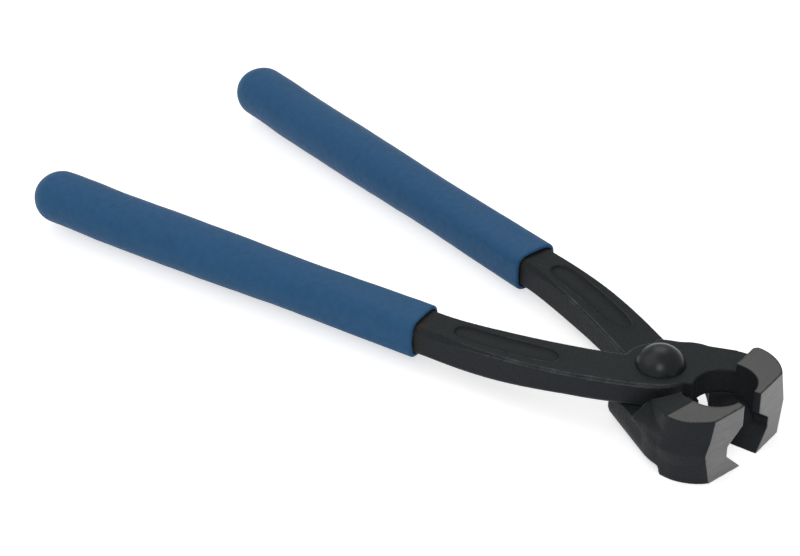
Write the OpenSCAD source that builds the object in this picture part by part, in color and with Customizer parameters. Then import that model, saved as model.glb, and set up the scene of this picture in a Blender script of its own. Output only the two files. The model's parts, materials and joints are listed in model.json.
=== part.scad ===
// O-clip pliers: two lap-jointed forged levers on a rivet, with moulded grips.
// Millimetres, +Z up, +X towards the jaws. Each lever is drawn in the frame of
// the rivet with the jaws closed, then swung open about the rivet's axis.

/* [Opening] */
// Angle between the levers at rest, counted from closed jaws
open_rest = 13.6; // [6:0.1:30]
// Angle between the levers when the arms stop against the jaws
open_most = 34; // [32:0.5:45]

/* [Handles] */
// Rivet axis to the rounded end of a handle
handle_l = 184; // [150:1:260]
// Rivet axis to the front rim of the grip, along the lever
mouth_x = 59.3; // [52:0.1:75]
// Handle centreline's distance from the closing line, at the rim
handle_off = 14.2; // [11:0.1:20]
// Angle of each handle to the closing line with closed jaws
handle_splay = 2.1; // [0:0.1:6]

/* [Grips] */
// Width of a grip at its front rim, seen from above
rim_w = 13.2; // [12.6:0.1:16]
// Thickness of a grip at its front rim
rim_t = 11; // [10.6:0.1:14]
// Rounding of the front rim's edge
rim_r = 0.5; // [0.2:0.1:0.6]
// Width of a grip where its rounded end starts
grip_w = 14.8; // [13:0.1:20]
// Thickness of a grip where its rounded end starts
grip_t = 13.8; // [12:0.1:18]
// Length of the rounded end
grip_dome = 7; // [4:0.5:10]
// Sleeve thickness past the end of the steel
grip_end = 8; // [6:0.5:12]
// Clearance between the sleeve and the steel in it
grip_fit = 0.03; // [0.01:0.01:0.1]

/* [Levers] */
// Width of the arm where it leaves the grip
arm_w = 10.9; // [8:0.1:11.8]
// Thickness of the arm where it leaves the grip
arm_t = 8.6; // [6:0.1:9.4]
// Width of the steel at its hidden rear end
tang_w = 7; // [5:0.1:9]
// Thickness of the steel at its hidden rear end
tang_t = 6.4; // [4:0.1:8]
// Bevel along the edges of the arm where it leaves the grip
mouth_bevel = 1.3; // [0.5:0.1:2]
// Bevel along the edges of the arm at the boss
arm_bevel = 0.6; // [0.3:0.1:1.5]
// Thickness of one lap plate at the rivet
plate_t = 6.6; // [5:0.1:8]
// Radius of the round boss about the rivet
boss_r = 9.5; // [8.5:0.1:11]
// Bevel round the boss and the lap plate
plate_bevel = 0.5; // [0.2:0.1:1]
// Radius of the arc about the rivet that bounds the lap face
relief_r = 12.5; // [11.8:0.1:14]
// Half width of a lap plate across the rivet, on its outer face
neck_w = 11.4; // [10:0.05:13]
// Angle of a lap plate's flank to the closing line
neck_angle = 19.7; // [15:0.1:22]
// How far the flank leans out towards the lap face
neck_draft = 1.8; // [0.5:0.1:3]
// Gap between the two lap faces
lap_gap = 0.06; // [0.02:0.01:0.1]
// Depth of the recessed panel on each face of an arm
panel_d = 0.45; // [0.2:0.05:1]
// Width of the recessed panel
panel_w = 5.2; // [3:0.1:6]

/* [Rivet] */
// Diameter of the shank
shank_d = 8; // [5:0.1:10]
// Running clearance on the shank's radius in the moving lever
shank_fit = 0.05; // [0.01:0.01:0.1]
// Diameter of both heads
head_d = 12.7; // [11:0.1:16]
// Height of the domed upper head
dome_h = 4.7; // [2:0.1:6]
// Height of the flatter lower head
under_h = 2; // [1:0.1:2.3]

/* [Jaws] */
// Rivet axis to the ground front faces
jaw_reach = 27.9; // [26:0.1:32]
// Height of the jaws, ground top to ground bottom
jaw_h = 18; // [16:0.1:22]
// Rivet axis to the rear edge of the raised, ground jaw top
jaw_back = 16.8; // [15.5:0.1:18.5]
// Half width over both jaws at their widest, at the top and bottom
jaw_w = 17.1; // [15:0.1:19]
// Half width of the ground front face, at the top and bottom
face_w = 10.8; // [8:0.1:12]
// How far the parting ridge stands out past the top edge at the front
ridge_out = 2; // [1:0.1:4]
// How far the ridge stands out past the top edge at the widest place
ridge_side = 1.1; // [0.5:0.1:3]
// Rivet axis to the middle of the round cavity between the jaws
cavity_x = 18.1; // [17.5:0.1:19]
// Radius of the cavity between the jaws
cavity_r = 7.8; // [7:0.1:8.2]
// Gap between the closed teeth
tooth_gap = 0.1; // [0.04:0.01:0.3]
// Height of the notch's upper corner over the middle of the jaws
notch_top = 3.2; // [1:0.1:5]
// Depth of the front notch into each jaw
notch_d = 5.1; // [3:0.1:6.5]
// Blunt edge left on the lower teeth
tip_land = 0.15; // [0.05:0.05:0.5]

/* [Hidden] */
$fn = 72;

STEEL = [0.16, 0.17, 0.18];
RIVET = [0.22, 0.23, 0.24];
BLUE = [0.19, 0.34, 0.48];

over = 1;
skin = 0.01;
half_h = jaw_h / 2;
shank_r = shank_d / 2;
lap = lap_gap / 2;
half_open = open_rest / 2;

// Handle axis: its direction away from the rivet, its outward side, its mouth and end.
axis_dir = [-cos(handle_splay), -sin(handle_splay)];
out_dir = [sin(handle_splay), -cos(handle_splay)];
mouth = [-mouth_x, -handle_off];
grip_l = handle_l - mouth_x;
tang_l = grip_l - grip_end;

// Footprint, which places the origin under the middle of the bounding box.
function turn(p, a) = [p[0] * cos(a) - p[1] * sin(a), p[0] * sin(a) + p[1] * cos(a)];
end_at = turn(mouth + axis_dir * (grip_l - grip_dome), half_open);
end_turn = handle_splay + half_open;
x_low = end_at[0] - norm([grip_dome * cos(end_turn), grip_w / 2 * sin(end_turn)]);
x_high = max(turn([jaw_reach, tooth_gap / 2], half_open)[0],
             turn([jaw_reach, tooth_gap / 2], -half_open)[0]);
x_mid = (x_low + x_high) / 2;

// Smooth step, and a point on a cubic curve of four control points.
function ease(t) = let (u = max(0, min(1, t))) u * u * (3 - 2 * u);
function curve(p, t) = pow(1 - t, 3) * p[0] + 3 * t * pow(1 - t, 2) * p[1]
                     + 3 * t * t * (1 - t) * p[2] + pow(t, 3) * p[3];

// Plan of an arm: two edges that leave the grip in line with it and meet the boss.
outer_at = -59;
inner_at = 184;
outer_lead = 23.5;
inner_lead = 18;
boss_lead = 23;
inner_pull = [-9.4, -5];
inner_sink = 1;
function on_boss(a, r) = r * [cos(a), sin(a)];
function along(a) = [-sin(a), cos(a)];
outer_edge = [mouth + out_dir * arm_w / 2,
              mouth + out_dir * arm_w / 2 - axis_dir * outer_lead,
              on_boss(outer_at, boss_r) - along(outer_at) * boss_lead,
              on_boss(outer_at, boss_r)];
inner_edge = [mouth - out_dir * arm_w / 2,
              mouth - out_dir * arm_w / 2 - axis_dir * inner_lead,
              on_boss(inner_at, boss_r) + inner_pull,
              on_boss(inner_at, boss_r - inner_sink)];

// Height of an arm's plate side and lap side at a share t of its length.
rise_from = 0.06;
rise_to = 0.84;
function rise(t) = ease((t - rise_from) / (rise_to - rise_from));
function plate_side(t) = arm_t / 2 + (plate_t - arm_t / 2) * rise(t);
function lap_side(t) = -arm_t / 2 + (lap + arm_t / 2) * rise(t);

// One bevelled section between two plan points, from z0 to z1.
function section(a, b, z0, z1, c) =
    let (w = norm(b - a), d = (b - a) / w)
    [for (p = [[c, z0], [w - c, z0], [w, z0 + c], [w, z1 - c],
               [w - c, z1], [c, z1], [0, z1 - c], [0, z0 + c]])
        [a[0] + d[0] * p[0], a[1] + d[1] * p[0], p[1]]];

// One section of a panel's cut, wider at its open side.
function trough(a, b, z0, z1, flare) =
    let (d = (b - a) / norm(b - a) * flare)
    [[a[0], a[1], z0], [b[0], b[1], z0],
     [b[0] + d[0], b[1] + d[1], z1], [a[0] - d[0], a[1] - d[1], z1]];

// Solid through a list of rings that have as many points each.
module loft(rings) {
    n = len(rings);
    m = len(rings[0]);
    sides = [for (i = [0 : n - 2], j = [0 : m - 1])
        let (k = (j + 1) % m)
        each [[i * m + j, (i + 1) * m + j, (i + 1) * m + k],
              [i * m + j, (i + 1) * m + k, i * m + k]]];
    first = [for (j = [1 : m - 2]) [0, j, j + 1]];
    last = [for (j = [1 : m - 2]) [(n - 1) * m, (n - 1) * m + j + 1, (n - 1) * m + j]];
    polyhedron(points = [for (r = rings) each r], faces = concat(first, sides, last));
}

// Steel inside the grip: tapered, and grown by the clearance for the grip's bore.
function tang_rings(grow) =
    let (end = mouth + axis_dir * (tang_l + grow),
         front = mouth - axis_dir * (grow > 0 ? over : 0))
    [section(end + out_dir * (tang_w / 2 + grow), end - out_dir * (tang_w / 2 + grow),
             -tang_t / 2 - grow, tang_t / 2 + grow, mouth_bevel),
     section(front + out_dir * (arm_w / 2 + grow), front - out_dir * (arm_w / 2 + grow),
             -arm_t / 2 - grow, arm_t / 2 + grow, mouth_bevel)];

arm_steps = 22;
bevel_share = 0.4;
function bevel_at(t) = mouth_bevel + (arm_bevel - mouth_bevel) * ease(t / bevel_share);
function arm_rings() =
    [for (i = [0 : arm_steps])
        let (t = i / arm_steps)
        section(curve(outer_edge, t), curve(inner_edge, t), lap_side(t), plate_side(t), bevel_at(t))];

// Recess that runs along an arm with round ends.
panel_from = 0.13;
panel_to = 0.6;
panel_steps = 16;
round_power = 8;
round_least = 0.02;
module panel(side) {
    loft([for (i = [0 : panel_steps])
        let (s = (1 - cos(180 * i / panel_steps)) / 2,
             t = panel_from + (panel_to - panel_from) * s,
             a = curve(outer_edge, t),
             b = curve(inner_edge, t),
             round_end = sqrt(max(round_least, 1 - pow(abs(2 * s - 1), round_power))),
             d = (b - a) / norm(b - a) * panel_w / 2 * round_end,
             c = (a + b) / 2)
        side > 0
            ? trough(c - d, c + d, plate_side(t) - panel_d, plate_side(t) + over, over + panel_d)
            : trough(c + d, c - d, lap_side(t) + panel_d, lap_side(t) - over, over + panel_d)]);
}

// Outline of a jaw seen from above: half width at the back and at the front face.
curve_steps = 8;
corner = 0.9;
side_lead = 4.5;
side_swell = 0.3;
front_lead = 2;
top_bulge = 3.9;
ridge_bulge = 2.1;
function jaw_side(back, wide, front, bulge) =
    [for (i = [0 : curve_steps])
        curve([[back + corner, wide], [back + side_lead, wide + side_swell],
               [jaw_reach - front_lead, front + bulge], [jaw_reach, front]], i / curve_steps)];
function jaw_outline(back, wide, front, bulge) =
    concat([[jaw_reach, 0], [back, 0], [back, wide - corner]], jaw_side(back, wide, front, bulge));

module slice(z, outline) {
    translate([0, 0, z]) linear_extrude(skin) polygon(outline);
}

// The jaw's head: widest at its parting ridge, flat at top and bottom.
module jaw_head() {
    hull() {
        slice(half_h - skin, jaw_outline(jaw_back, jaw_w, face_w, top_bulge));
        slice(-skin / 2, jaw_outline(jaw_back, jaw_w + ridge_side, face_w + ridge_out, ridge_bulge));
        slice(-half_h, jaw_outline(jaw_back, jaw_w, face_w, top_bulge));
    }
}

// A point on a lap plate's flank, which leans out towards the lap face.
flank_back = -6;
function flank(x, lean) = [x, neck_w + x * tan(neck_angle) + lean];

// The lap plate from the boss to the jaw, with a nose that meets the cavity. It runs
// into the jaw's head, past the head's rear corner, so that their sides are one.
nose = [[jaw_back, 0], [8, -4.2], [0, -6]];
head_lean = 0.9;
function joins_head(lean) = [jaw_back + corner, jaw_w + min(lean, head_lean)];
function neck_outline(in, lean) =
    concat([[flank_back, 0], flank(flank_back, lean - in),
            flank(jaw_back - corner, min(lean, head_lean) - in), joins_head(lean)], nose);
module neck() {
    hull() {
        slice(plate_t - skin, neck_outline(plate_bevel, 0));
        slice(plate_t - plate_bevel, neck_outline(0, 0));
        slice(lap, neck_outline(0, neck_draft));
    }
}

// The jaw's root past the lap face: a steep foot, and a ramp up to the jaw's flat.
foot = [[2.8, 0], [2.8, 9.4], [5.6, 15.4]];
step = [[6.2, 0], [6.2, 10], [13.8, 15.8]];
step_rise = 4.2;
function to_head(edge, lean) = concat(edge, [joins_head(lean), [jaw_back + corner, 0]]);
module root() {
    hull() {
        slice(-skin, to_head(foot, ridge_side));
        slice(-step_rise, to_head(step, head_lean / 2));
    }
    hull() {
        slice(-step_rise, to_head(step, head_lean / 2));
        slice(-half_h, to_head([[jaw_back, 0], [jaw_back, jaw_w - corner]], 0));
    }
}

module boss() {
    rotate_extrude()
        polygon([[0, lap], [boss_r - plate_bevel, lap], [boss_r, lap + plate_bevel],
                 [boss_r, plate_t - plate_bevel], [boss_r - plate_bevel, plate_t], [0, plate_t]]);
}

// Where the other lever's arm is when the pliers are fully open.
stop_gap = 1;
module other_arm() {
    rotate([0, 0, -open_most - stop_gap])
        mirror([0, 1, 0])
            linear_extrude(jaw_h)
                polygon(concat([for (i = [0 : arm_steps]) curve(outer_edge, i / arm_steps)],
                               [for (i = [arm_steps : -1 : 0]) curve(inner_edge, i / arm_steps)]));
}

// One forging, lap face down, handle at -Y and jaw at +Y, before the jaw is machined.
module blank(bore_r) {
    difference() {
        union() {
            loft(tang_rings(0));
            loft(arm_rings());
            boss();
            neck();
            root();
            jaw_head();
        }
        translate([0, 0, lap - jaw_h]) {
            cylinder(r = relief_r, h = jaw_h);
            other_arm();
        }
        translate([0, 0, -over])
            cylinder(r = bore_r, h = plate_t + 2 * over);
        panel(1);
        panel(-1);
    }
}

// Space between the closed jaws: a round cavity over a V-shaped floor, a notch
// through the front, and the gap between the teeth.
notch_low = half_h - tip_land;
notch_fall = 0.8 * notch_d;
notch_from = jaw_back + 2;
module jaw_space() {
    intersection() {
        translate([cavity_x, 0, -half_h - over])
            cylinder(r = cavity_r, h = jaw_h + 2 * over);
        rotate([90, 0, 90])
            linear_extrude(2 * jaw_reach)
                polygon([[0, -notch_low], [2 * jaw_h, 2 * jaw_h - notch_low],
                         [-2 * jaw_h, 2 * jaw_h - notch_low]]);
    }
    translate([notch_from, 0, 0])
        rotate([90, 0, 90])
            linear_extrude(jaw_reach)
                polygon([[0, notch_top], [notch_d, notch_top - notch_fall],
                         [notch_d, notch_d - notch_low], [0, -notch_low],
                         [-notch_d, notch_d - notch_low], [-notch_d, notch_top - notch_fall]]);
    translate([boss_r, -tooth_gap / 2, -half_h - over])
        cube([jaw_reach, tooth_gap, jaw_h + 2 * over]);
}

module placed(swing) {
    translate([-x_mid, 0, half_h])
        rotate([0, 0, swing])
            children();
}

module upper_lever() {
    color(STEEL)
        placed(half_open)
            difference() {
                blank(shank_r + shank_fit);
                jaw_space();
            }
}

module lower_lever() {
    color(STEEL)
        placed(-half_open)
            difference() {
                rotate([180, 0, 0]) blank(shank_r);
                jaw_space();
            }
}

// A domed head that rises from the plane z = 0.
module head(h) {
    r = head_d / 2;
    ball = (r * r + h * h) / (2 * h);
    intersection() {
        translate([0, 0, h - ball]) sphere(r = ball);
        cylinder(r = r, h = h + over);
    }
}

module pivot_rivet() {
    color(RIVET)
        placed(0) {
            translate([0, 0, -plate_t]) cylinder(r = shank_r, h = 2 * plate_t + lap_gap);
            translate([0, 0, plate_t + lap_gap]) head(dome_h);
            translate([0, 0, -plate_t]) mirror([0, 0, 1]) head(under_h);
        }
}

// A grip's section: a superellipse that is squarish at the rim and round further back.
grip_sides = 40;
rim_power = 4;
end_power = 2.1;
function flat_pow(x, e) = sign(x) * pow(abs(x), e);
function oval(s, w, t, p) =
    let (c = mouth + axis_dir * s)
    [for (i = [0 : grip_sides - 1])
        let (a = 360 * i / grip_sides,
             u = w / 2 * flat_pow(cos(a), 2 / p),
             v = -t / 2 * flat_pow(sin(a), 2 / p))
        [c[0] + out_dir[0] * u, c[1] + out_dir[1] * u, v]];

// Width, thickness and power of the section at a distance s behind the rim.
size_share = 0.6;
power_share = 0.35;
function mix(a, b, k) = a + (b - a) * k;
function grip_at(s, inset, scale) =
    let (k = ease(s / grip_l / size_share))
    oval(s, scale * (mix(rim_w, grip_w, k) - 2 * inset), scale * (mix(rim_t, grip_t, k) - 2 * inset),
         mix(rim_power, end_power, ease(s / grip_l / power_share)));

// Rings from the tip of the rounded end to the front rim.
tip_angle = 6;
dome_steps = 8;
body_steps = 10;
rim_steps = 4;
function grip_rings() = concat(
    [for (i = [0 : dome_steps])
        let (a = mix(tip_angle, 90, i / dome_steps))
        grip_at(grip_l - grip_dome * (1 - cos(a)), 0, sin(a))],
    [for (i = [1 : body_steps - 1]) grip_at(mix(grip_l - grip_dome, rim_r, i / body_steps), 0, 1)],
    [for (i = [0 : rim_steps])
        let (a = 90 * i / rim_steps)
        grip_at(rim_r * (1 - sin(a)), rim_r * (1 - cos(a)), 1)]);

// Sleeve in the frame of the closed lever whose handle is at -Y.
module grip() {
    difference() {
        loft(grip_rings());
        loft(tang_rings(grip_fit));
    }
}

module upper_grip() {
    color(BLUE)
        placed(half_open)
            grip();
}

module lower_grip() {
    color(BLUE)
        placed(-half_open)
            rotate([180, 0, 0]) grip();
}

upper_lever();
lower_lever();
pivot_rivet();
upper_grip();
lower_grip();
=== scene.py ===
"""O-clip pliers: the finish of two forged levers, their rivet and their dipped grips.

Metres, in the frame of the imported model: +X towards the jaws, +Z up along the rivet. A box on a lever or a
grip is in mm from the rivet with the jaws closed, as it lies on the lower half of the tool. The upper half
is the lower one turned over, and the boxes are turned over for it.
"""

import json
import math

import bmesh
import bpy
from mathutils import Matrix, Vector
from mathutils.kdtree import KDTree


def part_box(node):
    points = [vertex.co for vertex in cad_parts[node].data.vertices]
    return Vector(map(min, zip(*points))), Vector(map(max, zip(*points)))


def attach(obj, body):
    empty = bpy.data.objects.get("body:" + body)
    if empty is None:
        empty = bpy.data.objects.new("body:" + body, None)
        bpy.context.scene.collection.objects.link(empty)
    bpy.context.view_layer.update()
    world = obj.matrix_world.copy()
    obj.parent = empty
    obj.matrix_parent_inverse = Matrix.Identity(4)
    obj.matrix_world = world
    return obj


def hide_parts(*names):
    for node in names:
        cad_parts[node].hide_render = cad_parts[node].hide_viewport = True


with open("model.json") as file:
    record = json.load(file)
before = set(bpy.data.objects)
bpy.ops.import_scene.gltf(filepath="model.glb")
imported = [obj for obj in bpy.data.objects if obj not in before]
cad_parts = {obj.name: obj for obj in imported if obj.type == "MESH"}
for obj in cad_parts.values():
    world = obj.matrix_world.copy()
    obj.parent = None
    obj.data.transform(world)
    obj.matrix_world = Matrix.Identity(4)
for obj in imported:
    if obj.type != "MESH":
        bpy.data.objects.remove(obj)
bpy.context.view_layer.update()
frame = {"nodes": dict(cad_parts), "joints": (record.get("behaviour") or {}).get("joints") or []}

MM = 0.001

# The rivet's middle at the lap joint, and the swing of each lever from closed jaws.
PIVOT = Vector(frame["joints"][0]["pos_m"])
OPEN_REST = math.radians(13.6)
UPPER_SWING = OPEN_REST / 2
LOWER_SWING = -OPEN_REST / 2

# The camera: where it looks and from where, and its sensor and lens in mm.
VIEW_AZIMUTH = math.radians(41.218)
VIEW_ELEVATION = math.radians(33.108)
VIEW_ROLL = math.radians(0.67)
VIEW_DISTANCE = 0.75
VIEW_AIM = PIVOT + Vector((-0.07956, -0.00665, -0.00015))
SENSOR_WIDTH = 36
LENS = 129.45

# The floor, just under the tool, and the strength of the white surround as light.
FLOOR_SIZE = 6
FLOOR_HEIGHT = -0.05 * MM
SURROUND = 0.42

# The CAD mesh: how near two points are one, and the least fold that makes an edge sharp.
MERGE = 0.002 * MM
LEAST_TURN = math.radians(22)

# Points along the sharp edges, and how far a rubbed edge with its painted highlight and a painted corner
# shade reach from them.
EDGE_STEP = 0.15 * MM
EDGE_REACH = 1.2 * MM
CORNER_SHADE_REACH = 1.8 * MM

# An inner corner gets a painted shade where it is mostly level, but not where two bevels meet, between these
# distances from the joint's middle.
LEVEL_RISE = 0.5
BEVEL_FOOT = 5.9 * MM
BEVEL_TOP = 6.5 * MM

# The levers' new mesh: the depth of its grid, the lever's share of the grid, and how it is softened.
LEVER_DEPTH = 9
LEVER_SHARE = 0.98
SOFTEN = 0.5
LEVER_ROUNDS = 2

# Both levers: the arm is a little slimmer than its solid, the neck's flank and the head's rear corner are
# evened out, and the head's mid ridge stands further out.
ARM = ((-57, -40, -9), (-18, 40, 9))
ARM_SLIM = 0.16
ARM_REACH = 7
FLANK = ((-9, -20, -8.7), (15.4, -8.5, -1.2))
FLANK_ROUNDS = 4
HEAD_CORNER = ((12.5, -21, -8.4), (18.5, -13, 8.2))
HEAD_ROUNDS = 10
RIDGE = ((13, -22, -0.6), (25, -16.5, 0.6))
RIDGE_PUSH = (0, -0.5)
RIDGE_REACH = 3.5

# The near head: its neck stands further out, and its front corner further in.
NECK = ((-10, -19, -9.2), (14, -5.5, -5))
NECK_PUSH = (-0.7, -1.3)
NECK_REACH = 6
FRONT_CORNER = ((26.5, -12.5, 4), (28.5, -9, 9.2))
CORNER_PUSH = (0, 0.8)
FRONT_REACH = 5

# The far head: its neck stands further out in two places, and the boss edge runs into the arm.
FAR_NECK = ((2, -17, -9.2), (13, -9, -4))
FAR_NECK_PUSH = (0, -0.7)
FAR_ROOT = ((-4, -14, -9.2), (3, -8, -4))
FAR_ROOT_PUSH = (0, -0.6)
FAR_REACH = 3.5
BOSS_EDGE = ((-6, 7, -7.5), (8, 12, -4.4))
BOSS_ROUNDS = 14

# The rivet: the distance of its seats from the joint's middle, the radius of its shank, the lower head's
# radius as a share of the dome's, and the lip under the dome.
PLATE_TOP = 6.63 * MM
SHANK = 3.97 * MM
UNDER_SHARE = 0.8
RIVET_LIP = 0.1 * MM
RIVET_SIDES = 96
DOME_RINGS = 16
RIVET_FOLD = math.radians(40)

# The lower head's rounded foot: shares of its radius, each with its height.
UNDER_ROUND = ((0.8, 0), (0.93, 0.25 * MM), (1, 0.8 * MM))

# The grips: which triangles make a quad, how finely they are divided, and how uneven they are.
QUAD_FOLD = math.radians(60)
QUAD_SKEW = math.radians(80)
GRIP_LEVELS = 2
UNEVEN_SIZE = 7 * MM
UNEVEN_DEPTH = 0.2 * MM

# Where the grips' rims and rounded ends are, and how far the rims slide and the ends rise, in mm.
RIM = ((-60, -40, -9), (-58, 40, 9))
RIM_REACH = 12
UPPER_RIM_SLIDE = -1.2
LOWER_RIM_SLIDE = 0.5
HANDLE_END = ((-200, -60, -9), (-172, 60, 9))
END_LIFT = 0.5
END_REACH = 16


def flip(swing):
    """1 for the lower half of the tool, and -1 for the upper half, which lies turned over."""
    return 1 if swing < 0 else -1


# Modelling

def only(piece):
    """Selects one object alone and makes it active."""
    bpy.ops.object.select_all(action="DESELECT")
    piece.select_set(True)
    bpy.context.view_layer.objects.active = piece


def apply_modifier(piece, kind, **settings):
    """Adds a modifier with these settings and applies it to the mesh."""
    modifier = piece.modifiers.new(kind.lower(), kind)
    for name, value in settings.items():
        setattr(modifier, name, value)
    only(piece)
    bpy.ops.object.modifier_apply(modifier=modifier.name)


def merged_copy(node, name):
    """A copy of a node's mesh as an object of its own, with its doubled points merged."""
    piece = bpy.data.objects.new(name, frame["nodes"][node].data.copy())
    piece.data.name = name
    piece.data.materials.clear()
    bpy.context.scene.collection.objects.link(piece)
    only(piece)
    bpy.ops.object.mode_set(mode="EDIT")
    bpy.ops.mesh.select_all(action="SELECT")
    bpy.ops.mesh.remove_doubles(threshold=MERGE)
    bpy.ops.object.mode_set(mode="OBJECT")
    return piece


def tree_of(points):
    """A tree that finds the nearest of these points."""
    tree = KDTree(len(points))
    for index, point in enumerate(points):
        tree.insert(point, index)
    tree.balance()
    return tree


def sharp_edges(piece):
    """Two trees of points: along the outer edges of a mesh, and along its level inner corners."""
    shape = bmesh.new()
    shape.from_mesh(piece.data)
    outer, inner = [], []
    for edge in shape.edges:
        turn = edge.calc_face_angle_signed(0.0)
        if abs(turn) <= LEAST_TURN:
            continue
        first, last = (v.co for v in edge.verts)
        steps = max(1, math.ceil(edge.calc_length() / EDGE_STEP))
        row = [first.lerp(last, k / steps) for k in range(steps + 1)]
        height = abs((first.z + last.z) / 2 - PIVOT.z)
        level = abs(first.z - last.z) < LEVEL_RISE * edge.calc_length()
        if turn > 0:
            outer.extend(row)
        elif level and not BEVEL_FOOT < height < BEVEL_TOP:
            inner.extend(row)
    shape.free()
    return tree_of(outer), tree_of(inner)


def mark_edges(piece, trees):
    """Stores at each point how near it lies to an outer edge and to an inner corner, 1 to 0."""
    for name, tree, reach in zip(("edge", "corner"), trees, (EDGE_REACH, CORNER_SHADE_REACH)):
        layer = piece.data.attributes.new(name, "FLOAT", "POINT")
        near = [max(0.0, 1 - tree.find(v.co)[2] / reach) for v in piece.data.vertices]
        layer.data.foreach_set("value", near)


def select_box(piece, swing, box):
    """Selects the points in a box of this half of the tool, and leaves the piece in edit mode."""
    low, high = box
    closed = Matrix.Rotation(-swing, 3, "Z")
    over = Vector((1, flip(swing), flip(swing)))
    bpy.ops.object.mode_set(mode="EDIT")
    bpy.ops.mesh.select_all(action="DESELECT")
    bpy.ops.object.mode_set(mode="OBJECT")
    for point in piece.data.vertices:
        place = closed @ (point.co - PIVOT) / MM * over
        point.select = all(a <= p <= b for a, p, b in zip(low, place, high))
    bpy.ops.object.mode_set(mode="EDIT")
    bpy.ops.mesh.select_mode(type="VERT")


def drag(piece, swing, box, push, reach, falloff="SMOOTH", lift=0):
    """Moves a box's points along and across the piece, and up by a lift, all in mm.

    Points outside the box but within reach of it follow less and less.
    """
    select_box(piece, swing, box)
    way = Matrix.Rotation(swing, 3, "Z") @ Vector((push[0], flip(swing) * push[1], lift))
    bpy.ops.transform.translate(
        value=way * MM, use_proportional_edit=True, proportional_size=reach * MM,
        proportional_edit_falloff=falloff)
    bpy.ops.object.mode_set(mode="OBJECT")


def smooth_box(piece, swing, box, rounds):
    """Evens out the points in a box."""
    select_box(piece, swing, box)
    bpy.ops.mesh.vertices_smooth(factor=SOFTEN, repeat=rounds)
    bpy.ops.object.mode_set(mode="OBJECT")


# Materials

class Wire:
    """An output socket that takes part in plain arithmetic: each step adds one Math node."""

    def __init__(self, finish, socket):
        self.finish = finish
        self.socket = socket

    def __add__(self, other):
        return self.finish.math("ADD", self, other)

    def __radd__(self, other):
        return self.finish.math("ADD", other, self)

    def __sub__(self, other):
        return self.finish.math("SUBTRACT", self, other)

    def __rsub__(self, other):
        return self.finish.math("SUBTRACT", other, self)

    def __mul__(self, other):
        return self.finish.math("MULTIPLY", self, other)

    def __rmul__(self, other):
        return self.finish.math("MULTIPLY", other, self)


class Finish:
    """One material: its Principled shader and the nodes that feed it."""

    def __init__(self, name, **constants):
        self.material = bpy.data.materials.new(name)
        self.material.use_nodes = True
        self.tree = self.material.node_tree
        self.shader = self.tree.nodes["Principled BSDF"]
        for socket, value in constants.items():
            self.shader.inputs[socket.replace("_", " ")].default_value = value

    def feed(self, socket, value):
        """Gives a socket a link or a plain value."""
        if isinstance(value, Wire):
            self.tree.links.new(value.socket, socket)
        else:
            socket.default_value = value

    def node(self, kind, settings, inputs, output=0):
        """Adds a node: its settings first, then its sockets. Returns one output as a wire."""
        made = self.tree.nodes.new("ShaderNode" + kind)
        for name, value in settings.items():
            setattr(made, name, value)
        for name, value in inputs.items():
            self.feed(made.inputs[name], value)
        return Wire(self, made.outputs[output])

    def math(self, operation, *values, clamp=False):
        """A Math node on wires and numbers."""
        return self.node("Math", {"operation": operation, "use_clamp": clamp}, dict(enumerate(values)))

    def limit(self, value):
        """A value held between 0 and 1."""
        return self.math("ADD", value, 0.0, clamp=True)

    def mix(self, share, first, second):
        """A colour between two colours: sockets 0, 6 and 7 are the factor and the colours."""
        settings = {"data_type": "RGBA", "clamp_factor": True}
        return self.node("Mix", settings, {0: share, 6: first, 7: second}, output=2)

    def place(self, centre=(0, 0, 0), swing=0.0, stretch=(1, 1, 1)):
        """The point on the piece, measured from a centre and turned back by a swing about +Z."""
        point = self.node("TexCoord", {}, {}, output="Object")
        turned = {"Vector": point, "Location": centre, "Rotation": (0, 0, swing)}
        local = self.node("Mapping", {"vector_type": "TEXTURE"}, turned)
        return self.node("Mapping", {"vector_type": "POINT"}, {"Vector": local, "Scale": stretch})

    def axis(self, point, name):
        """One coordinate of a point."""
        return self.node("SeparateXYZ", {}, {"Vector": point}, output=name)

    def noise(self, point, size, detail=3.0, roughness=0.55):
        """Soft noise from 0 to 1 with features of about this size in metres."""
        sockets = {"Vector": point, "Scale": 1 / size, "Detail": detail, "Roughness": roughness}
        return self.node("TexNoise", {}, sockets)

    def attribute(self, name):
        """A value stored at the mesh's points."""
        return self.node("Attribute", {"attribute_name": name}, {}, output="Fac")

    def step(self, value, at, over):
        """A rise from 0 to 1 with its middle at one value, over a width."""
        return self.math("DIVIDE", value - (at - over / 2), over, clamp=True)

    def bump(self, height, depth, before=None):
        """A Bump node of this depth in metres on top of an earlier one."""
        sockets = {"Height": height, "Distance": depth, "Strength": 1.0}
        if before is not None:
            sockets["Normal"] = before
        return self.node("Bump", {}, sockets)

    def show(self, **wires):
        """Links wires to the shader's own sockets."""
        for socket, wire in wires.items():
            self.feed(self.shader.inputs[socket.replace("_", " ")], wire)
        return self.material


def rgb(red, green, blue):
    """A colour given as the 0 to 255 that a screen shows, as linear light."""
    def linear(level):
        share = level / 255
        return share / 12.92 if share <= 0.04045 else ((share + 0.055) / 1.055) ** 2.4
    return (linear(red), linear(green), linear(blue), 1)


# Colours of the forgings, of their ground faces, of what time leaves on them, and of painted light and shade
# on them.
PHOSPHATE_DARK = rgb(33, 38, 40)
PHOSPHATE_LIGHT = rgb(43, 47, 49)
# Painted side light that makes upright faces bluer.
PAINTED_SIDE_LIGHT = rgb(38, 40, 46)
# Painted shade for the inner corners.
PAINTED_CORNER_SHADE = rgb(14, 16, 18)
# Partly worn steel and partly a painted highlight along the outer edges.
WORN_AND_HIGHLIT_STEEL = rgb(88, 92, 94)
GROUND_STEEL = rgb(121, 122, 121)
GROUND_STREAK = rgb(94, 94, 94)
# Painted shade for the jaw's flats, darker than the front face.
PAINTED_FLAT_SHADE = rgb(62, 63, 61)
RIM_STAIN = rgb(58, 50, 42)

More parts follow.
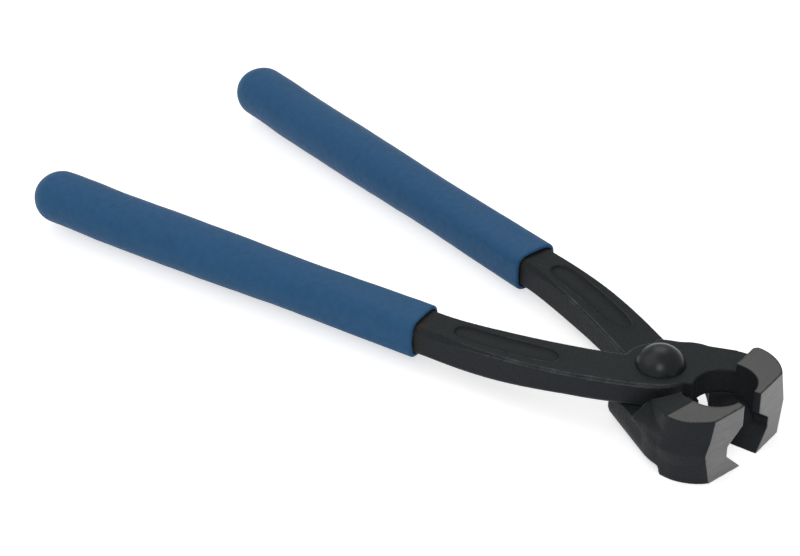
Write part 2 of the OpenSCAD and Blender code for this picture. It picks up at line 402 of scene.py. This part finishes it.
# Colours of the rivet, the grips and the floor.
RIVET_DARK = rgb(25, 27, 30)
RIVET_LIGHT = rgb(34, 37, 39)
GRIP_BLUE = rgb(34, 83, 124)
GRIP_PALE = rgb(45, 95, 137)
PAPER_LOW = rgb(236, 236, 236)
PAPER_HIGH = rgb(242, 242, 242)
BLACK = rgb(0, 0, 0)
WHITE = rgb(255, 255, 255)

# How far the floor is lifted towards white where the camera or a reflection sees it.
PAPER_LIFT = 0.6

# The ground faces, from the rivet: the front, the flats and their rear edge, which lies further forward
# on the side with the ramp. Each mask begins a skim inside its face, so that it holds the whole face.
JAW_REACH = 27.9 * MM
JAW_HALF_HEIGHT = 9 * MM
JAW_BACK = 16.8 * MM
RAMP_MORE = 1.7 * MM
SKIM = 0.1 * MM
FACE_BLUR = 0.04 * MM
BACK_BLUR = 0.2 * MM
RAMP_BLUR = 1 * MM

# The rubbed edges, partly worn and partly a painted highlight, begin and end here along the lever, from the
# rivet.
WEAR_START = -44 * MM
WEAR_START_BLUR = 12 * MM
WEAR_END = 7 * MM
WEAR_END_BLUR = 3 * MM

# The stain at the grip's rim: its middle, from the rivet, and its width.
STAIN_X = -57.7 * MM
STAIN_BLUR = 2.4 * MM

# Sizes of the patterns in the forgings, and the depths of their cast skin and grinding lines.
MOTTLE_SIZE = 3 * MM
PIT_SIZE = 0.9 * MM
GRAIN_SIZE = 0.35 * MM
LINE_SIZE = 0.2 * MM
LINE_STRETCH = (1, 0.05, 1)
CAST_DEPTH = 0.11 * MM
LINE_DEPTH = 0.012 * MM

# How much each colour shows over the one below it.
SIDE_LIGHT_SHARE = 0.5
CORNER_SHADE_SHARE = 0.5
WEAR_AND_HIGHLIGHT_SHARE = 0.6
STAIN_SHARE = 0.6
FLAT_SHADE_SHARE = 0.62

# The rivet's and the grips' patterns.
RIVET_MOTTLE = 1.6 * MM
SCUFF_SIZE = 0.3 * MM
SCUFF_DEPTH = 0.01 * MM
CLOUD_SIZE = 9 * MM
PEBBLE_SIZE = 1.9 * MM
DIP_GRAIN = 0.4 * MM
DIP_DEPTH = 0.12 * MM
FIBRE_SIZE = 2 * MM


def ground_areas(steel, x, z, swing):
    """Masks of all the ground steel, and of the jaw's flats alone."""
    front = steel.step(x, at=JAW_REACH - SKIM, over=FACE_BLUR)
    height = steel.math("ABSOLUTE", z)
    ramped = steel.step(z * flip(swing), at=0.0, over=RAMP_BLUR)
    in_front = steel.step(x - RAMP_MORE * ramped, at=JAW_BACK, over=BACK_BLUR)
    flats = steel.step(height, at=JAW_HALF_HEIGHT - SKIM, over=FACE_BLUR) * in_front
    return steel.math("MAXIMUM", front, flats), flats


def rubbed_highlit_edges(steel, x, mottle, grain, corner):
    """A mask of the outer edges, partly rubbed thin by use and partly a painted highlight, broken up by the
    skin's patterns.
    """
    begun = steel.step(x, at=WEAR_START, over=WEAR_START_BLUR)
    ended = steel.step(x, at=WEAR_END, over=WEAR_END_BLUR)
    sheltered = steel.step(corner, at=0.65, over=0.15)
    broken = steel.attribute("edge") + 0.5 * (mottle - 0.5) + 0.6 * (grain - 0.5)
    return steel.step(broken, at=0.84, over=0.3) * (1 - sheltered) * begun * (1 - ended)


def forged_steel(name, swing):
    """Dark phosphated steel with a cast grain, thin along its edges, and bright ground jaw faces, with
    painted side light on upright faces, painted shade in inner corners and on the flats, and a painted
    highlight along the rubbed edges.
    """
    steel = Finish(name, Specular_IOR_Level=0.17)
    point = steel.place(PIVOT, swing)
    x = steel.axis(point, "X")
    ground, flats = ground_areas(steel, x, steel.axis(point, "Z"), swing)

    # The skin is a mottled dark phosphate, with a painted side light that makes upright faces bluer and a
    # painted shade in the inner corners.
    mottle = steel.noise(point, MOTTLE_SIZE)
    grain = steel.noise(point, GRAIN_SIZE, detail=4)
    pits = steel.noise(point, PIT_SIZE, detail=2)
    corner = steel.attribute("corner")
    upright_side_light = 1 - steel.math("ABSOLUTE", steel.axis(steel.node("NewGeometry", {}, {}, "Normal"), "Z"))
    tone = steel.step(0.5 * mottle + 0.5 * pits, at=0.5, over=0.35)
    skin = steel.mix(tone, PHOSPHATE_DARK, PHOSPHATE_LIGHT)
    skin = steel.mix(upright_side_light * SIDE_LIGHT_SHARE, skin, PAINTED_SIDE_LIGHT)
    skin = steel.mix(corner * CORNER_SHADE_SHARE, skin, PAINTED_CORNER_SHADE)
    # The rubbed edges are partly real wear and partly a painted highlight along them.
    edge_wear_and_highlight = rubbed_highlit_edges(steel, x, mottle, grain, corner)
    skin = steel.mix(edge_wear_and_highlight * WEAR_AND_HIGHLIGHT_SHARE, skin, WORN_AND_HIGHLIT_STEEL)

    # A brownish stain shows where the dipped grip ends.
    stain = steel.step(STAIN_X - x, at=0.0, over=STAIN_BLUR) * steel.step(pits, at=0.5, over=0.4)
    skin = steel.mix(stain * STAIN_SHARE, skin, RIM_STAIN)

    # Grinding lines run across the front face and the flats, and the flats get a painted shade, darker than
    # the front face.
    lines = steel.noise(steel.place(PIVOT, swing, LINE_STRETCH), LINE_SIZE)
    bright = steel.mix(steel.step(lines, at=0.5, over=0.5), GROUND_STREAK, GROUND_STEEL)
    bright = steel.mix(flats * FLAT_SHADE_SHARE, bright, PAINTED_FLAT_SHADE)

    rough = 0.5 + 0.16 * mottle - 0.12 * edge_wear_and_highlight
    cast = steel.bump((grain + pits * 1.6) * (1 - 0.9 * ground), CAST_DEPTH)
    return steel.show(
        Base_Color=steel.mix(ground, skin, bright),
        Roughness=rough * (1 - ground) + (0.34 + 0.12 * lines) * ground,
        Metallic=0.15 + 0.75 * ground,
        Normal=steel.bump(lines * ground, LINE_DEPTH, cast),
    )


def rivet_steel():
    """A smoother dark steel with a faint sheen and fine scuffs."""
    steel = Finish("rivet_dark", Specular_IOR_Level=0.4)
    point = steel.place(PIVOT)
    mottle = steel.noise(point, RIVET_MOTTLE)
    scuffs = steel.noise(point, SCUFF_SIZE, detail=4)
    return steel.show(
        Base_Color=steel.mix(mottle, RIVET_DARK, RIVET_LIGHT),
        Roughness=0.25 + 0.1 * mottle + 0.06 * scuffs,
        Metallic=0.12 + 0.1 * mottle,
        Normal=steel.bump(scuffs, SCUFF_DEPTH),
    )


def grip_plastic():
    """Matt blue plastic with a fine dipped texture and slight changes of tone."""
    plastic = Finish("grip_blue", Specular_IOR_Level=0.25, Sheen_Weight=0.12, Sheen_Roughness=0.4)
    point = plastic.place(PIVOT)
    cloud = plastic.noise(point, CLOUD_SIZE)
    grain = plastic.noise(point, DIP_GRAIN)
    pebble = plastic.noise(point, PEBBLE_SIZE, detail=2)
    tone = plastic.limit(0.25 + 0.5 * cloud + 1.1 * (pebble - 0.5))
    return plastic.show(
        Base_Color=plastic.mix(tone, GRIP_BLUE, GRIP_PALE),
        Roughness=0.58 + 0.14 * cloud,
        Normal=plastic.bump(grain * 0.6 + pebble * 2, DIP_DEPTH),
    )


def floor_paper():
    """White paper that keeps a soft shadow, lifted towards plain white for the camera and reflections."""
    paper = Finish("floor_paper", Roughness=0.9, Specular_IOR_Level=0.1, Emission_Strength=1.0)
    fibre = paper.noise(paper.place(), FIBRE_SIZE)
    seen = paper.node("LightPath", {}, {}, output="Is Camera Ray")
    mirrored = paper.node("LightPath", {}, {}, output="Is Glossy Ray")
    return paper.show(
        Base_Color=paper.mix(fibre, PAPER_LOW, PAPER_HIGH),
        Emission_Color=paper.mix((seen + mirrored) * PAPER_LIFT, BLACK, WHITE),
    )


# Pieces

def arm_neck_and_head(piece, swing):
    """Slims the arm, fills out the neck's flank and raises the head's mid ridge."""
    select_box(piece, swing, ARM)
    bpy.ops.transform.shrink_fatten(
        value=-ARM_SLIM * MM, use_proportional_edit=True, proportional_size=ARM_REACH * MM,
        proportional_edit_falloff="SMOOTH")
    bpy.ops.object.mode_set(mode="OBJECT")
    if swing < 0:
        drag(piece, swing, NECK, NECK_PUSH, NECK_REACH)
        drag(piece, swing, FRONT_CORNER, CORNER_PUSH, FRONT_REACH)
    else:
        drag(piece, swing, FAR_NECK, FAR_NECK_PUSH, FAR_REACH)
        drag(piece, swing, FAR_ROOT, FAR_ROOT_PUSH, FAR_REACH)
        smooth_box(piece, swing, BOSS_EDGE, BOSS_ROUNDS)
    smooth_box(piece, swing, FLANK, FLANK_ROUNDS)
    smooth_box(piece, swing, HEAD_CORNER, HEAD_ROUNDS)
    drag(piece, swing, RIDGE, RIDGE_PUSH, RIDGE_REACH, falloff="LINEAR")


def lever(node, name, body, swing):
    """A forged lever in place of its node, its edges softened as a die leaves them."""
    piece = merged_copy(node, name)
    trees = sharp_edges(piece)
    apply_modifier(piece, "REMESH", mode="SHARP", octree_depth=LEVER_DEPTH, scale=LEVER_SHARE, sharpness=1,
                   use_remove_disconnected=False)
    apply_modifier(piece, "SMOOTH", factor=SOFTEN, iterations=LEVER_ROUNDS)
    mark_edges(piece, trees)
    arm_neck_and_head(piece, swing)
    bpy.ops.object.shade_smooth()
    piece.data.materials.append(forged_steel(name + "_steel", swing))
    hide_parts(node)
    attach(piece, body)


def ring_up(rows):
    """Draws the selected ring out through a row of (radius, height) points."""
    for (last, low), (wide, high) in zip(rows, rows[1:]):
        bpy.ops.mesh.extrude_region_move(TRANSFORM_OT_translate={"value": (0, 0, high - low)})
        share = wide / last
        bpy.ops.transform.resize(value=(share, share, 1), center_override=(PIVOT.x, PIVOT.y, high))


def rivet_outline():
    """The rivet's outline from the foot of its lower head to its top, as (radius, height) points."""
    low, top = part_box("pivot_rivet")
    wide = (top.x - low.x) / 2
    under = wide * UNDER_SHARE
    foot = PIVOT.z - PLATE_TOP
    seat = PIVOT.z + PLATE_TOP
    rows = [(under * share, low.z + height) for share, height in UNDER_ROUND]
    rows += [(under, foot), (SHANK, foot), (SHANK, seat), (wide - RIVET_LIP, seat)]

    # The dome is a cap of this ball, raised on a lip that fades out towards the top.
    rise = top.z - seat
    ball = (wide * wide + rise * rise) / (2 * rise)
    span = math.atan2(wide, ball - rise)
    for k in range(DOME_RINGS):
        left = 1 - k / DOME_RINGS
        lean = span * left
        rows.append((ball * math.sin(lean), top.z - ball * (1 - math.cos(lean)) + RIVET_LIP * left))
    return rows


def rivet():
    """The domed rivet in place of its node: drawn out ring by ring from its lower head."""
    rows = rivet_outline()
    bpy.ops.object.select_all(action="DESELECT")
    bpy.ops.mesh.primitive_circle_add(vertices=RIVET_SIDES, radius=rows[0][0], fill_type="NGON",
                                      location=(PIVOT.x, PIVOT.y, rows[0][1]))
    piece = bpy.context.object
    piece.name = "domed_rivet"
    bpy.ops.object.mode_set(mode="EDIT")
    bpy.ops.mesh.select_all(action="SELECT")
    ring_up(rows)
    bpy.ops.mesh.select_all(action="SELECT")
    bpy.ops.mesh.normals_make_consistent(inside=False)
    bpy.ops.object.mode_set(mode="OBJECT")
    bpy.ops.object.transform_apply()
    bpy.ops.object.shade_smooth_by_angle(angle=RIVET_FOLD)
    piece.data.materials.append(rivet_steel())
    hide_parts("pivot_rivet")
    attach(piece, "lower_half")


def grip(node, name, body, plastic, swing, rim_slide):
    """A dipped sleeve in place of its node: rounded off and slightly uneven."""
    piece = merged_copy(node, name)
    bpy.ops.object.mode_set(mode="EDIT")
    bpy.ops.mesh.select_all(action="SELECT")
    bpy.ops.mesh.tris_convert_to_quads(face_threshold=QUAD_FOLD, shape_threshold=QUAD_SKEW)
    bpy.ops.object.mode_set(mode="OBJECT")
    apply_modifier(piece, "SUBSURF", levels=GRIP_LEVELS, render_levels=GRIP_LEVELS)
    drag(piece, swing, RIM, (rim_slide, 0), RIM_REACH)
    drag(piece, swing, HANDLE_END, (0, 0), END_REACH, lift=END_LIFT)
    uneven = bpy.data.textures.new(name + "_uneven", "CLOUDS")
    uneven.noise_scale = UNEVEN_SIZE
    uneven.noise_depth = 1
    apply_modifier(piece, "DISPLACE", texture=uneven, strength=UNEVEN_DEPTH, mid_level=0,
                   texture_coords="LOCAL")
    bpy.ops.object.shade_smooth()
    piece.data.materials.append(plastic)
    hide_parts(node)
    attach(piece, body)


# Stage

def floor():
    """A wide white sheet under the tool."""
    bpy.ops.object.select_all(action="DESELECT")
    bpy.ops.mesh.primitive_plane_add(size=FLOOR_SIZE, location=(0, 0, FLOOR_HEIGHT))
    sheet = bpy.context.object
    sheet.name = "floor_sheet"
    sheet.data.materials.append(floor_paper())


def towards(azimuth, elevation):
    """The way from the tool to a camera or a lamp at these angles, with azimuth 0 at -Y."""
    return Vector((math.sin(azimuth) * math.cos(elevation),
                   -math.cos(azimuth) * math.cos(elevation),
                   math.sin(elevation)))


def camera():
    """The camera at the photographed angle."""
    back = towards(VIEW_AZIMUTH, VIEW_ELEVATION)
    level = (-back).cross(Vector((0, 0, 1))).normalized()
    rise = level.cross(-back)
    right = level * math.cos(VIEW_ROLL) + rise * math.sin(VIEW_ROLL)
    up = rise * math.cos(VIEW_ROLL) - level * math.sin(VIEW_ROLL)
    data = bpy.data.cameras.new("camera")
    data.sensor_width = SENSOR_WIDTH
    data.lens = LENS
    held = bpy.data.objects.new("camera", data)
    bpy.context.scene.collection.objects.link(held)
    held.matrix_world = (Matrix.Translation(VIEW_AIM + back * VIEW_DISTANCE)
                         @ Matrix((right, up, back)).transposed().to_4x4())
    bpy.context.scene.camera = held


def lamp(name, azimuth, elevation, distance, size, power):
    """A square soft lamp that looks at the tool's middle, placed by angles in degrees."""
    data = bpy.data.lights.new(name, "AREA")
    data.size = size
    data.energy = power
    back = towards(math.radians(azimuth), math.radians(elevation))
    held = bpy.data.objects.new(name, data)
    held.location = back * distance
    held.rotation_euler = back.to_track_quat("Z", "Y").to_euler()
    bpy.context.scene.collection.objects.link(held)


def daylight():
    """An even white surround, soft as light and plain white for the camera."""
    world = bpy.data.worlds.new("surround")
    world.use_nodes = True
    bpy.context.scene.world = world
    tree = world.node_tree
    light = tree.nodes["Background"]
    light.inputs["Color"].default_value = WHITE
    path = tree.nodes.new("ShaderNodeLightPath")
    strength = tree.nodes.new("ShaderNodeMapRange")
    strength.inputs["To Min"].default_value = SURROUND
    strength.inputs["To Max"].default_value = 1.0
    tree.links.new(path.outputs["Is Camera Ray"], strength.inputs["Value"])
    tree.links.new(strength.outputs["Result"], light.inputs["Strength"])


bpy.context.scene.view_settings.view_transform = "Standard"
camera()
daylight()
floor()
lamp("key", azimuth=-50, elevation=52, distance=1.0, size=1.0, power=2.3)
lamp("front", azimuth=38, elevation=43, distance=0.9, size=0.3, power=1.3)
lamp("back", azimuth=215, elevation=52, distance=1.0, size=0.6, power=1.7)

lever("upper_lever", "upper_forging", "upper_half", UPPER_SWING)
lever("lower_lever", "lower_forging", "lower_half", LOWER_SWING)
rivet()
blue = grip_plastic()
grip("upper_grip", "upper_sleeve", "upper_half", blue, UPPER_SWING, UPPER_RIM_SLIDE)
grip("lower_grip", "lower_sleeve", "lower_half", blue, LOWER_SWING, LOWER_RIM_SLIDE)
